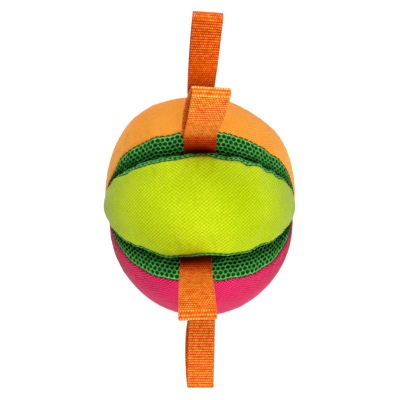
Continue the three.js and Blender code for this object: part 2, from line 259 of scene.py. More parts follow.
def object_noise(tree, scale, detail=3.0, roughness=0.55):
    sockets = {"Scale": scale, "Detail": detail, "Roughness": roughness, "Vector": object_place(tree)}
    return new_node(tree, "ShaderNodeTexNoise", sockets).outputs["Fac"]


def add_bump(tree, shader, height, strength, distance):
    bump = new_node(tree, "ShaderNodeBump", {"Strength": strength, "Distance": distance, "Height": height})
    set_sockets(tree, shader, {"Normal": bump.outputs["Normal"]})


def painted_end_shade_mask(tree):
    """0 over most of the spine's length, rising to 1 at a segment's pointed ends: the mask of the painted end
    shade.
    """
    parts = new_node(tree, "ShaderNodeSeparateXYZ", {"Vector": object_place(tree)})
    share = math_node(tree, "DIVIDE", math_node(tree, "ABSOLUTE", parts.outputs["X"]), CROWN_HALF_LENGTH)
    return math_node(tree, "POWER", share, END_POWER)


def woven_fabric(name, colours, pitch, contrast, relief, roughness, painted_end_shade):
    """Oxford cloth: bumps where warp and weft cross, slightly uneven dye, a soft sheen, and painted shade
    towards the pointed ends, with lighter painted sheen there instead where the setting is negative.
    """
    dark, mid, light = colours
    material, shader = new_material(name, mid, roughness)
    tree = material.node_tree
    weave = weave_height(tree, pitch)
    uneven = object_noise(tree, DYE_SCALE)
    grain = object_noise(tree, FIBRE_SCALE, detail=2.0)
    dye = math_node(tree, "MULTIPLY_ADD", uneven, 0.5, 0.25)
    tone = math_node(tree, "MULTIPLY_ADD", weave, contrast, dye)
    tone = math_node(tree, "MULTIPLY_ADD", math_node(tree, "SUBTRACT", grain, 0.5), FIBRE_SHARE, tone)
    # Painted shade towards the pointed ends; where the setting is negative, as on the orange, painted sheen
    # lightens them instead.
    tone = math_node(tree, "MULTIPLY_ADD", painted_end_shade_mask(tree), -painted_end_shade, tone)
    colour = ramp(tree, tone, [(0.0, dark), (1.0, light), (0.5, mid)])
    height = math_node(tree, "MULTIPLY_ADD", grain, FIBRE_SHARE, weave)
    add_bump(tree, shader, height, relief, 0.2 * MM)
    set_sockets(tree, shader, {"Base Color": colour, "Specular IOR Level": 0.18,
                               "Specular Tint": (*light, 1)})
    return material


def plain_thread(name, dark, light, roughness, scale=900):
    """Matt fibre with a fine grain and no weave."""
    material, shader = new_material(name, light, roughness)
    tree = material.node_tree
    grain = object_noise(tree, scale, detail=4.0)
    colour = ramp(tree, grain, [(0.3, dark), (0.7, light)])
    add_bump(tree, shader, grain, 0.5, 0.15 * MM)
    set_sockets(tree, shader, {"Base Color": colour, "Specular IOR Level": 0.3})
    return material


def yarn_material(name, stops, roughness):
    """Yarns with a painted highlight on their crowns and painted shade between them, after the mesh attribute
    that carries that painted light.
    """
    brightest = stops[1][1]
    material, shader = new_material(name, brightest, roughness)
    tree = material.node_tree
    attribute = new_node(tree, "ShaderNodeAttribute")
    attribute.attribute_name = "painted_yarn_light"
    grain = object_noise(tree, YARN_GRAIN_SCALE, detail=4.0, roughness=0.7)
    fuzz = math_node(tree, "SUBTRACT", grain, 0.5)
    tone = math_node(tree, "MULTIPLY_ADD", fuzz, YARN_GRAIN_SHARE, attribute.outputs["Fac"])
    add_bump(tree, shader, grain, 0.35, 0.15 * MM)
    set_sockets(tree, shader, {"Base Color": ramp(tree, tone, stops), "Specular IOR Level": 0.18,
                               "Specular Tint": (*brightest, 1)})
    return material


def make_materials():
    lime = ((0.22, 0.34, 0.0), (0.47, 0.62, 0.003), (0.84, 0.95, 0.035))
    orange = ((0.66, 0.17, 0.01), (0.86, 0.283, 0.018), (0.98, 0.46, 0.08))
    pink = ((0.42, 0.0, 0.03), (0.74, 0.010, 0.10), (1.0, 0.07, 0.24))
    # Painted light of the webbing: whitish-yellow painted glints on the yarn crowns, deep red painted shade
    # between them.
    webbing = [(0.0, (0.36, 0.018, 0.002)), (1.0, (1.0, 0.70, 0.20)), (0.35, (0.76, 0.078, 0.004)),
               (0.7, (0.97, 0.255, 0.011))]
    # Painted light of the net: painted highlights on the thread crowns, painted shade down into the holes.
    net = [(0.0, (0.001, 0.022, 0.002)), (1.0, (0.26, 0.62, 0.20)), (0.4, (0.017, 0.180, 0.022)),
           (0.75, (0.055, 0.375, 0.055))]
    return {
        "lime": woven_fabric("lime_oxford", lime, pitch=2.6 * MM, contrast=0.20, relief=0.5, roughness=0.5,
                             painted_end_shade=0.5),
        "orange": woven_fabric("orange_fabric", orange, pitch=1.7 * MM, contrast=0.42, relief=0.6,
                               roughness=0.65, painted_end_shade=-0.75),
        "pink": woven_fabric("pink_oxford", pink, pitch=2.2 * MM, contrast=0.55, relief=1.0, roughness=0.6,
                             painted_end_shade=0.8),
        "net": yarn_material("green_net_yarn", net, 0.55),
        "net_back": plain_thread("green_net_backing", (0.004, 0.042, 0.006), (0.012, 0.095, 0.016), 0.95),
        "lime_thread": plain_thread("lime_seam_thread", (0.01, 0.05, 0.006), (0.03, 0.14, 0.02), 0.7),
        "orange_thread": plain_thread("orange_seam_thread", (0.02, 0.03, 0.004), (0.10, 0.07, 0.01), 0.7),
        "pink_thread": plain_thread("pink_seam_thread", (0.02, 0.004, 0.006), (0.06, 0.01, 0.015), 0.7),
        "stuffing": plain_thread("fibre_filling", (0.6, 0.6, 0.56), (0.86, 0.85, 0.82), 1.0, scale=250),
        "binding": plain_thread("core_binding", (0.004, 0.025, 0.004), (0.012, 0.06, 0.012), 0.9, scale=500),
        "webbing": yarn_material("orange_webbing", webbing, 0.5),
    }


# ---- a segment's cross-section ----
# u runs outward from the spine, v sideways; seen from along the spine at the ball's middle. The outer
# panel is an arc through the crown and both seams; each mesh side is straight beside its groove and
# turns over through a round shoulder to the seam.
SEAM_U = SEAM_RADIUS * math.cos(SEAM_ANGLE)
SEAM_V = SEAM_RADIUS * math.sin(SEAM_ANGLE)
CROWN_RISE = CROWN_RADIUS - SEAM_U
CROWN_ARC_RADIUS = (CROWN_RISE ** 2 + SEAM_V ** 2) / (2 * CROWN_RISE)
CROWN_ARC_ANGLE = math.asin(SEAM_V / CROWN_ARC_RADIUS)
SIDE_NORMAL = (-math.sin(GROOVE_HALF_ANGLE), math.cos(GROOVE_HALF_ANGLE))


def groove_side(u, clearance):
    """How far sideways a wedge may reach at u, staying clear of the middle of its groove."""
    return (u * math.sin(GROOVE_HALF_ANGLE) - clearance) / math.cos(GROOVE_HALF_ANGLE)


SHOULDER_V = groove_side(SHOULDER_START, GROOVE_CLEARANCE)
TO_SEAM = (SEAM_U - SHOULDER_START, SEAM_V - SHOULDER_V)
SHOULDER_RADIUS = -(TO_SEAM[0] ** 2 + TO_SEAM[1] ** 2) / (
    2 * (TO_SEAM[0] * SIDE_NORMAL[0] + TO_SEAM[1] * SIDE_NORMAL[1]))
SHOULDER_CENTRE = (SHOULDER_START - SHOULDER_RADIUS * SIDE_NORMAL[0],
                   SHOULDER_V - SHOULDER_RADIUS * SIDE_NORMAL[1])
SHOULDER_FIRST = math.atan2(SEAM_V - SHOULDER_CENTRE[1], SEAM_U - SHOULDER_CENTRE[0])
SHOULDER_LAST = math.atan2(SIDE_NORMAL[1], SIDE_NORMAL[0])
SHOULDER_LENGTH = SHOULDER_RADIUS * (SHOULDER_LAST - SHOULDER_FIRST)


def crown_section(angles):
    return CROWN_RADIUS - CROWN_ARC_RADIUS * (1 - np.cos(angles)), CROWN_ARC_RADIUS * np.sin(angles)


def side_section(shares, inner_u):
    """Points from the seam (share 0) over the shoulder and down the side to inner_u (share 1)."""
    straight = (SHOULDER_START - inner_u) / math.cos(GROOVE_HALF_ANGLE)
    along = shares * (SHOULDER_LENGTH + straight)
    angle = SHOULDER_FIRST + np.minimum(along, SHOULDER_LENGTH) / SHOULDER_RADIUS
    beyond = np.maximum(along - SHOULDER_LENGTH, 0)
    u = SHOULDER_CENTRE[0] + SHOULDER_RADIUS * np.cos(angle) - beyond * math.cos(GROOVE_HALF_ANGLE)
    v = SHOULDER_CENTRE[1] + SHOULDER_RADIUS * np.sin(angle) - beyond * math.sin(GROOVE_HALF_ANGLE)
    return u, v


# ---- the grid of a segment ----
# Rows run along the segment. Columns run round it: over the crown from the minus to the plus seam, down
# the plus side to the inner edge, and up the minus side.
CROWN_COLUMNS = 36
SIDE_COLUMNS = 26
INNER_EDGE = CROWN_COLUMNS + SIDE_COLUMNS
ROWS = 96
SIDE_CROWDING = 1.15  # above 1, a side's columns lie closer together towards the seam
DEEPEST_INNER_EDGE = 0.9 * SHOULDER_START


def pillow_grid():
    """The plain wedge before it is stuffed."""
    side_shares = np.linspace(0, 1, SIDE_COLUMNS + 1)[1:] ** SIDE_CROWDING
    crown_u, crown_v = crown_section(np.linspace(-CROWN_ARC_ANGLE, CROWN_ARC_ANGLE, CROWN_COLUMNS + 1))
    rows = []
    for latitude in np.linspace(-TIP_LATITUDE, TIP_LATITUDE, ROWS + 1):
        cosine, sine = math.cos(latitude), math.sin(latitude)
        scale = cosine ** LATITUDE_POWER
        clearance = GROOVE_CLEARANCE_TIP + (GROOVE_CLEARANCE - GROOVE_CLEARANCE_TIP) * cosine
        inner_u = (clearance / math.sin(GROOVE_HALF_ANGLE) + INNER_EDGE_MARGIN) / scale
        side_u, side_v = side_section(side_shares, min(inner_u, DEEPEST_INNER_EDGE))
        u = np.concatenate([crown_u, side_u, side_u[::-1]])
        v = np.concatenate([crown_v, side_v, -side_v[::-1]])
        share = np.clip(u / CROWN_RADIUS, 0, 1)
        x = (SPINE_HALF_LENGTH + (CROWN_HALF_LENGTH - SPINE_HALF_LENGTH) * share) * sine
        width = np.abs(v) * scale * (1 + END_FULLNESS * sine ** 2)
        width = np.minimum(width, groove_side(u * scale, clearance))
        rows.append(np.stack([x, np.sign(v) * width, u * scale], axis=1))
    return np.array(rows)


def columns_from(seam, count):
    """How many columns each column is from a seam, the short way round."""
    return np.abs((np.arange(count) - seam + count / 2) % count - count / 2)


WANDER = 2.4 * MM  # how far a seam strays sideways, and how many columns it takes along
WANDER_REACH = 3.2
DIP = 2.2 * MM
DIP_REACH = 2.0


def seam_waves(grid, seed):
    """Uneven stitching: each seam wanders sideways and dips a little along its length."""
    wavy = grid.copy()
    along = np.linspace(0, 1, ROWS + 1)
    fade = np.sin(np.pi * along) ** 0.5

    def ripple(waves, row, layer):
        return np.array([noise.noise(Vector((place * waves, row, layer))) for place in along])

    for side, seam in ((-1, 0), (1, CROWN_COLUMNS)):
        distance = columns_from(seam, grid.shape[1])
        drift = ripple(9, seed * 3.7 + side, 0.5) + 0.5 * ripple(23, seed * 5.1 + side, 4.5)
        dip = np.abs(ripple(17, seed * 2.3 + side, 9.5))
        wavy[:, :, 1] += np.outer(drift * fade * WANDER, np.exp(-(distance / WANDER_REACH) ** 2))
        wavy[:, :, 2] -= np.outer(dip * fade * DIP, np.exp(-(distance / DIP_REACH) ** 2))
    return wavy


# ---- meshes ----
def new_object(name, points, faces, materials):
    mesh = bpy.data.meshes.new(name)
    mesh.from_pydata([tuple(p) for p in points], [], [tuple(int(i) for i in f) for f in faces])
    mesh.update()
    for material in materials:
        mesh.materials.append(material)
    mesh.polygons.foreach_set("use_smooth", [True] * len(mesh.polygons))
    made = bpy.data.objects.new(name, mesh)
    bpy.context.collection.objects.link(made)
    return made


def set_cloth_uv(made, coordinates):
    """Flat cloth coordinates in metres, one pair per vertex, as the UV map that the weaves follow."""
    layer = made.data.uv_layers.new(name="cloth")
    index = np.empty(len(made.data.loops), int)
    made.data.loops.foreach_get("vertex_index", index)
    layer.data.foreach_set("uv", np.asarray(coordinates, np.float32)[index].ravel())


def set_painted_yarn_light(made, tones):
    """The painted brightness of the yarn at each vertex: painted highlights on its crowns, painted shade in
    its hollows.
    """
    layer = made.data.attributes.new("painted_yarn_light", "FLOAT", "POINT")
    layer.data.foreach_set("value", tones.astype(np.float32).ravel())


def grid_faces(rows, columns, start=0, wrap=False):
    r, c = np.meshgrid(np.arange(rows - 1), np.arange(columns if wrap else columns - 1), indexing="ij")
    n = (c + 1) % columns
    corners = [r * columns + c, r * columns + n, (r + 1) * columns + n, (r + 1) * columns + c]
    return start + np.stack(corners, axis=-1).reshape(-1, 4)


def tube_faces(rows, columns, start=0):
    """Faces of a closed tube of rings, with a flat cap at each end."""
    end = start + (rows - 1) * columns
    caps = [tuple(range(start + columns - 1, start - 1, -1)), tuple(range(end, end + columns))]
    return [tuple(f) for f in grid_faces(rows, columns, start, wrap=True)] + caps


def unit(vectors):
    return vectors / (np.linalg.norm(vectors, axis=-1, keepdims=True) + 1e-15)


def travelled(line):
    """Distance along a line from its first point to each of its points."""
    steps = np.linalg.norm(np.diff(line, axis=0), axis=1)
    return np.concatenate([[0], np.cumsum(steps)])


def cubic_weights(t):
    """Weights of the four points round a place t of the way from the second to the third."""
    return np.stack([((-0.5 * t + 1) * t - 0.5) * t, (1.5 * t - 2.5) * t * t + 1,
                     ((-1.5 * t + 2) * t + 0.5) * t, (0.5 * t - 0.5) * t * t], axis=-1)


def sample(grid, row, column):
    """Smooth (cubic) lookup of grid points at fractional rows and columns."""
    row = np.clip(row, 0, grid.shape[0] - 1.000001)
    column = np.clip(column, 0, grid.shape[1] - 1.000001)
    r, c = np.floor(row).astype(int), np.floor(column).astype(int)
    row_weights, column_weights = cubic_weights(row - r), cubic_weights(column - c)
    total = 0
    for i in range(4):
        near_row = np.clip(r + i - 1, 0, grid.shape[0] - 1)
        line = 0
        for j in range(4):
            near_column = np.clip(c + j - 1, 0, grid.shape[1] - 1)
            line = line + column_weights[..., j, None] * grid[near_row, near_column]
        total = total + row_weights[..., i, None] * line
    return total


def smoothed(field, passes):
    """Repeated averaging with the neighbours, round the segment and along it."""
    for _ in range(passes):
        field = (field + np.roll(field, 1, axis=1) + np.roll(field, -1, axis=1)) / 3
        padded = np.concatenate([field[:1], field, field[-1:]])
        field = (padded[:-2] + padded[1:-1] + padded[2:]) / 3
    return field


def ring_normals(grid):
    """Outward unit normals of the closed grid round a segment."""
    around = np.roll(grid, -1, axis=1) - np.roll(grid, 1, axis=1)
    along = np.gradient(grid, axis=0)
    normals = unit(smoothed(unit(np.cross(around, along)), 1))
    crown_normal = normals[ROWS // 2, CROWN_COLUMNS // 2, 2]
    return normals * np.sign(crown_normal)


# ---- cloth simulation ----
SIM_SCALE = 10  # the solver likes pieces of about a metre
SIM_FRAMES = 18
START_JITTER = 0.12 * MM
SWELL_LIMIT = 3.2 * MM  # furthest that stuffing may push the fabric
SWELL_PASSES = 30  # rounds of smoothing that part the overall swelling from the pleats
SWELL_SHARE = 0.3  # how much of the swelling and of the pleats is kept
PLEAT_SHARE = 0.7
DRIFT_PASSES = 12
DRIFT_REACH = 4  # columns beside a seam over which its slow drift is taken out
TIP_ROWS = 16  # rows over which the pleats die away towards a gathered tip
SEAM_HOLD = 0.3  # how firmly a seam is held in place
# The seam thread's gathering, from 0 to 1, of the columns at each distance from a seam.
GATHERING = ((0, 1.0), (1, 0.6), (2, 0.25))
CLOTH_SETTINGS = {"quality": 6, "mass": 0.3, "tension_stiffness": 25, "compression_stiffness": 25,
                  "shear_stiffness": 12, "bending_stiffness": 0.6, "use_pressure": True,
                  "uniform_pressure_force": 5, "shrink_min": 0, "shrink_max": 0.10}


def sewn_wedge(name, grid, seed):
    """A closed mesh of the grid, SIM_SCALE times as large and a little uneven, to be simulated."""
    rows, columns = grid.shape[:2]
    rng = np.random.default_rng(seed)
    start = grid + rng.normal(0, START_JITTER, grid.shape)
    tips = [grid[0].mean(axis=0)], [grid[-1].mean(axis=0)]
    points = np.concatenate([start.reshape(-1, 3), *tips]) * SIM_SCALE
    first, last = rows * columns, rows * columns + 1
    end = (rows - 1) * columns
    faces = [tuple(f[::-1]) for f in grid_faces(rows, columns, wrap=True)]
    faces += [(first, c, (c + 1) % columns) for c in range(columns)]
    faces += [(last, end + (c + 1) % columns, end + c) for c in range(columns)]
    return new_object(name, points, faces, [])


def hold_seams_and_edge(pad, rows, columns):
    """Vertex groups: what is held in place, and what the seam thread gathers."""
    def points_at(wanted_rows, wanted_columns):
        return [r * columns + c % columns for r in wanted_rows for c in wanted_columns]

    every_row = range(rows)
    seams = (0, CROWN_COLUMNS)
    pinned = pad.vertex_groups.new(name="pinned")
    gathered = pad.vertex_groups.new(name="gathered")
    inner = points_at(every_row, range(INNER_EDGE - 3, INNER_EDGE + 5))
    tips = points_at((0, 1, rows - 2, rows - 1), range(columns))
    tip_centres = [rows * columns, rows * columns + 1]
    pinned.add(inner + tips + tip_centres, 1.0, "REPLACE")
    pinned.add(points_at(every_row, seams), SEAM_HOLD, "ADD")
    for distance, weight in GATHERING:
        beside = [seam + side * distance for seam in seams for side in (-1, 1)]
        gathered.add(points_at(every_row, beside), weight, "REPLACE")


def inflate(name, grid, seed):
    """Blows the sewn wedge up against its own seams, whose thread gathers the cloth."""
    rows, columns = grid.shape[:2]
    pad = sewn_wedge(name, grid, seed)
    hold_seams_and_edge(pad, rows, columns)
    cloth = pad.modifiers.new("cloth", "CLOTH").settings
    for setting, value in CLOTH_SETTINGS.items():
        setattr(cloth, setting, value)
    cloth.effector_weights.gravity = 0
    cloth.vertex_group_mass = "pinned"
    cloth.vertex_group_shrink = "gathered"
    scene = bpy.context.scene
    for number in range(1, SIM_FRAMES + 1):
        scene.frame_set(number)
    settled = pad.evaluated_get(bpy.context.evaluated_depsgraph_get()).to_mesh()
    moved = np.empty(len(settled.vertices) * 3)
    settled.vertices.foreach_get("co", moved)
    moved = moved.reshape(-1, 3)[:rows * columns].reshape(rows, columns, 3) / SIM_SCALE
    bpy.data.objects.remove(pad)
    scene.frame_set(1)
    return grid + tamed(moved - grid)


def tamed(shift):
    """The simulated shift with its seams kept in place, its tips still and its size limited."""
    rows, columns = shift.shape[:2]
    swell = smoothed(shift, SWELL_PASSES)
    shift = PLEAT_SHARE * (shift - swell) + SWELL_SHARE * swell
    for seam in (0, CROWN_COLUMNS):
        drift = smoothed(np.repeat(shift[:, seam:seam + 1], 3, axis=1), DRIFT_PASSES)[:, :1]
        shift -= drift * np.exp(-(columns_from(seam, columns) / DRIFT_REACH) ** 2)[None, :, None]
    towards_tip = np.minimum(np.arange(rows), np.arange(rows)[::-1]) / TIP_ROWS
    shift *= np.clip(towards_tip, 0, 1)[:, None, None] ** 2
    size = np.linalg.norm(shift, axis=2, keepdims=True) + 1e-12
    return shift * (SWELL_LIMIT * np.tanh(size / SWELL_LIMIT) / size)


# ---- hand shaping ----
EVEN_SQUARE = 2.17  # the outline exponent that the pillow grid already has
SEGMENT_WIDTH = 66 * MM
OUTLINE_END = 0.97  # share of the half length beyond which the outline isn't changed further
LEAST_CLEARANCE = 0.3 * MM  # from a groove's middle, everywhere
MIDDLE_CLEARANCE = 0.5 * MM  # and more towards the middle of the spine
STRAP_CLEARANCE = 1.3 * MM  # and more again beside a strap
STRAP_CLEARANCE_REACH = 0.72 * STRAP_WIDTH
LEAST_HALF_WIDTH = 0.05 * MM
FLOOR_SOFTNESS = 0.35 * MM


def hand_shape(grid, segment):
    """The unevenness of a hand-stuffed wedge: its length, outline, overhang and dented seams."""
    shaped = grid.copy()
    share = np.clip(np.abs(grid[:, :, 0]) / CROWN_HALF_LENGTH, 0, OUTLINE_END)
    towards_plus = np.clip(0.5 + grid[:, :, 1] / SEGMENT_WIDTH, 0, 1)
    minus, plus = segment["squareness"]
    square = minus + (plus - minus) * towards_plus
    fuller = (1 - share ** square) ** (1 / square) / (1 - share ** EVEN_SQUARE) ** (1 / EVEN_SQUARE)
    fuller = 1 + (fuller - 1) * (1 - share ** 8)
    shaped[:, :, 1:] *= (1 + (fuller - 1) * np.clip(grid[:, :, 2] / SEAM_U, 0, 1))[:, :, None]
    columns = np.arange(grid.shape[1])
    for sign, seam, overhang in ((1, CROWN_COLUMNS, segment["overhang"][0]), (-1, 0, segment["overhang"][1])):
        side = (columns > CROWN_COLUMNS) & ((sign > 0) == (columns <= INNER_EDGE))
        limit = sign * shaped[:, seam:seam + 1, 1] + overhang * MM
        shaped[:, side, 1] = sign * np.minimum(sign * shaped[:, side, 1], limit)
    for sign, place, sunk, drawn, half_width, reach in segment["dents"]:
        seam = CROWN_COLUMNS if sign > 0 else 0
        apart = np.linalg.norm(shaped[:, :, 1:] - shaped[:, seam:seam + 1, 1:], axis=2) / MM
        along = (shaped[:, :, 0] / MM - place) / half_width
        pull = MM * np.exp(-along ** 2) * np.exp(-apart / reach)
        shaped[:, :, 2] -= sunk * pull
        shaped[:, :, 1] -= sign * drawn * pull
    shaped[:, :, 0] = shaped[:, :, 0] * segment["length"] + segment["slide"] * MM
    return shaped


def keep_clear(grid):
    """Holds the cloth off the groove planes, more so where the straps run."""
    kept = grid.copy()
    middle = np.sqrt(np.clip(1 - (kept[:, :, 0] / CROWN_HALF_LENGTH) ** 2, 0, 1))
    near_strap = np.exp(-(kept[:, :, 0] / STRAP_CLEARANCE_REACH) ** 4)
    clearance = LEAST_CLEARANCE + (MIDDLE_CLEARANCE + STRAP_CLEARANCE * near_strap) * middle
    limit = np.maximum(groove_side(kept[:, :, 2], clearance), LEAST_HALF_WIDTH)
    kept[:, :, 1] = np.sign(kept[:, :, 1]) * np.minimum(np.abs(kept[:, :, 1]), limit)
    return kept


def press_flat(grid, depth):
    """The floor: the bottom segment's crown is pressed level at its resting depth."""
    pressed = grid.copy()
    pressed[:, :, 2] = depth - FLOOR_SOFTNESS * np.logaddexp(0, (depth - grid[:, :, 2]) / FLOOR_SOFTNESS)
    return pressed


def turned(points, angle):
    """From a segment's own axes (spine, sideways, outward) to the frame."""
    sine, cosine = math.sin(angle), math.cos(angle)
    x, v, u = points[..., 0], points[..., 1], points[..., 2]
    return np.stack([x, u * sine + v * cosine, SPINE_Z + u * cosine - v * sine], axis=-1)


# ---- a segment's pieces ----
PANEL_THICKNESS = 1.1 * MM
PANEL_COLUMNS = 71
PANEL_CROWDING = 0.117  # above 0, the panel's columns lie closer together beside the seams
PANEL_FULL_WIDTH = 12 * MM  # a panel narrower than this thins out, towards its tips
LEAST_THICKNESS = 0.05 * MM
TUCK_DEPTH = 1.0 * MM  # how far the cloth dips at a seam
TUCK_REACH = 1.4 * MM


def sheet_mesh(outer, inner):
    """Points and faces of a sheet with thickness, from two grids of the same size."""
    rows, columns = outer.shape[:2]
    count = rows * columns
    points = np.concatenate([outer.reshape(-1, 3), inner.reshape(-1, 3)])
    faces = [tuple(f) for f in grid_faces(rows, columns)]
    faces += [tuple(f[::-1]) for f in grid_faces(rows, columns, count)]
    top, left = np.arange(columns), np.arange(rows) * columns
    for rim in (top[::-1], top + (rows - 1) * columns, left, (left + columns - 1)[::-1]):
        faces += [(a, b, b + count, a + count) for a, b in zip(rim[:-1], rim[1:])]
    return points, faces


def lengths_along(grid, axis):
    """Distance travelled from the first point along an axis of a grid."""
    step = np.linalg.norm(np.diff(grid, axis=axis), axis=2)
    zero = np.zeros_like(np.take(step, [0], axis=axis))
    return np.concatenate([zero, np.cumsum(step, axis=axis)], axis=axis)


def tuck(distance):
    return TUCK_DEPTH * np.exp(-(distance / TUCK_REACH) ** 2)


def outer_panel(segment, crown, normals, angle, materials):
    """The woven panel: crown is the grid from seam to seam."""
    spread = np.linspace(0, 1, PANEL_COLUMNS)
    columns = CROWN_COLUMNS * (spread - PANEL_CROWDING * np.sin(2 * np.pi * spread))
    r, c = np.meshgrid(np.linspace(0, ROWS, 2 * ROWS + 1), columns, indexing="ij")
    surface = sample(crown, r, c)
    outward = unit(sample(normals, r, c))
    along = lengths_along(surface, 1)
    width = along[:, -1:]
    edge = np.minimum(along, width - along)
    fullness = np.clip(width / PANEL_FULL_WIDTH, 0, 1)[:, :, None]
    surface = surface - outward * (tuck(edge)[:, :, None] * fullness)
    inner = surface - outward * (PANEL_THICKNESS * fullness + LEAST_THICKNESS)
    points, faces = sheet_mesh(turned(surface, angle), turned(inner, angle))
    panel = new_object(f"{segment['name']}_panel", points, faces, [materials[segment["colour"]]])
    middle = PANEL_COLUMNS // 2
    down_panel = np.broadcast_to(lengths_along(surface, 0)[:, middle:middle + 1], along.shape)
    cloth = np.stack([down_panel, along - width / 2], axis=-1).reshape(-1, 2)
    set_cloth_uv(panel, np.concatenate([cloth, cloth]))
    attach(panel, "ball")
    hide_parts(f"{segment['name']}_outer_panel")


# Air mesh: a knitted net of staggered six-sided cells over a darker backing.
CELL_LENGTH = 3.35 * MM
CELL_ROW = 2.75 * MM
SELVAGE = 0.8 * MM  # solid edge of the net along the seam
NET_INNER_MARGIN = 0.8 * MM  # the net stops this far short of the inner edge
NET_DEPTH_DOWN_SIDE = 38 * MM
NET_FULL_REACH = 14 * MM  # a side shallower than this thins out, down to NET_LEAST_SHARE
NET_LEAST_SHARE = 0.15
NET_WANDER = 0.10 * MM  # uneven height of the yarns
NET_WANDER_SCALE = 160
END_MARGIN = 0.02 * MM
LEAST_CELL_FACE = 0.1 * MM
WELD_DISTANCE = 0.02 * MM
BACKING_DEPTH = 1.5 * MM
BACKING_THICKNESS = 0.6 * MM
# Each ring of a cell, from its outline into the hole: share of its size, depth in mm, painted brightness.
# That painted brightness is a painted highlight on the thread's crown and painted shade deeper into the hole.
RINGS = ((1.0, 0.0, 1.0), (0.92, 0.07, 0.66), (0.77, 0.28, 0.48), (0.63, 0.75, 0.3), (0.58, 1.45, 0.05))
ROUND_BELOW = 0.9  # rings smaller than this share are half rounded


def cell_outline():
    """Corners and edge middles of one six-sided cell round its centre."""
    half = CELL_LENGTH / 2
    top = (half ** 2 + CELL_ROW ** 2) / (2 * CELL_ROW)
    side = (CELL_ROW ** 2 - half ** 2) / (2 * CELL_ROW)
    corners = np.array([(0, top), (half, side), (half, -side), (0, -top), (-half, -side), (-half, side)])
    middles = (corners + np.roll(corners, -1, axis=0)) / 2
    return np.stack([corners, middles], axis=1).reshape(-1, 2)


def cell_rings(outline):
    """The cell's rings: (points round its centre, depth, painted brightness)."""
    distance = np.linalg.norm(outline, axis=1, keepdims=True)
    round_hole = outline / distance * distance.mean()
    for share, sunk, painted_crest_light in RINGS:
        shape = outline * share if share > ROUND_BELOW else (outline * share + round_hole * share) / 2
        yield shape, sunk * MM, painted_crest_light


def net_layout(length, depth):
    """Cells of the net in flat cloth coordinates: points (along, down, sunk, painted crest light) and faces.
    """
    outline = cell_outline()
    rings = list(cell_rings(outline))
    count = len(outline)
    near_seam = [k for k in range(count) if outline[k, 1] < -1e-6]
    first_down = SELVAGE - outline[:, 1].min()
    points, faces = [], []
    for row in range(int(depth / CELL_ROW) + 1):
        down = row * CELL_ROW + first_down
        for cell in range(int(length / CELL_LENGTH) + 2):
            centre = np.array([(cell + 0.5 * (row % 2)) * CELL_LENGTH, down])
            start = len(points)
            for shape, sunk, painted_crest_light in rings:
                points += [(*(centre + p), sunk, painted_crest_light) for p in shape]
            for ring in range(len(rings) - 1):
                a, b = start + ring * count, start + (ring + 1) * count
                faces += [(a + k, a + (k + 1) % count, b + (k + 1) % count, b + k) for k in range(count)]
            if row == 0:
                edge = len(points)
                points += [(centre[0] + outline[k, 0], 0.0, 0.0, 0.3) for k in near_seam]
                faces += [(edge + k, edge + k + 1, start + near_seam[k + 1], start + near_seam[k])
                          for k in range(len(near_seam) - 1)]
    return np.array(points), np.array(faces)


def locate(side, along, down):
    """Fractional grid row and column of cloth coordinates measured along the seam and down the side,
    and how deep the side is there."""
    seam = lengths_along(side[:, :1], 0)[:, 0]
    row = np.interp(along, seam, np.arange(len(seam)))
    lengths = lengths_along(side, 1)
    low = np.clip(row.astype(int), 0, len(seam) - 2)
    share = (row - low)[:, None]
    ladder = lengths[low] * (1 - share) + lengths[low + 1] * share
    column = np.empty(len(row))
    for k in range(ladder.shape[1] - 1):
        inside = (down >= ladder[:, k]) & (down <= ladder[:, k + 1])
        span = np.maximum(ladder[:, k + 1] - ladder[:, k], 1e-9)
        column[inside] = k + ((down - ladder[:, k]) / span)[inside]
    column[down > ladder[:, -1]] = ladder.shape[1] - 1
    column[down < 0] = 0
    return row, column, ladder[:, -1]


def thinning(reach):
    """How thick a mesh side is where it reaches this far down, from NET_LEAST_SHARE to 1."""
    return np.clip(reach / NET_FULL_REACH, NET_LEAST_SHARE, 1)


def net_over(side, normals, seed):
    """The open net laid on a side: its points, faces, painted brightness and cloth coordinates."""
    seam_length = lengths_along(side[:, :1], 0)[-1, 0]
    layout, faces = net_layout(seam_length, NET_DEPTH_DOWN_SIDE)
    along = np.clip(layout[:, 0], END_MARGIN, seam_length - END_MARGIN)
    down = np.maximum(layout[:, 1], 0.0)
    row, column, reach = locate(side, along, down)
    outward = unit(sample(normals, row, column))
    wander = np.array([noise.noise(Vector((x * NET_WANDER_SCALE, y * NET_WANDER_SCALE, seed)))
                       for x, y in layout[:, :2]])
    sunk = layout[:, 2] + tuck(down) - NET_WANDER * wander * layout[:, 3]
    points = sample(side, row, column) - outward * (sunk * thinning(reach))[:, None]
    inside = layout[:, 1] < reach - NET_INNER_MARGIN
    inside &= (layout[:, 0] > -CELL_LENGTH) & (layout[:, 0] < seam_length + CELL_LENGTH)
    size = np.ptp(along[faces], axis=1) + np.ptp(down[faces], axis=1)
    faces = faces[inside[faces].all(axis=1) & (size > LEAST_CELL_FACE)]
    key = np.round(points / WELD_DISTANCE).astype(np.int64)
    _, first, welded = np.unique(key, axis=0, return_index=True, return_inverse=True)
    faces = welded.reshape(-1)[faces]
    faces = faces[[len(set(f)) == 4 for f in faces.tolist()]]
    return points[first], faces, layout[first, 3], np.stack([along, down], axis=1)[first]


def backing_under(side, normals):
    """The closed sheet behind the net: its points, faces and cloth coordinates."""
    down = lengths_along(side, 1)
    share = thinning(down[:, -1:])
    depth = ((BACKING_DEPTH + tuck(down)) * share)[:, :, None]
    deep = depth + (BACKING_THICKNESS * share)[:, :, None]
    points, faces = sheet_mesh(side - normals * depth, side - normals * deep)
    along = np.broadcast_to(lengths_along(side[:, :1], 0), down.shape)
    cloth = np.stack([along, down], axis=-1).reshape(-1, 2)
    return points, faces, np.concatenate([cloth, cloth])


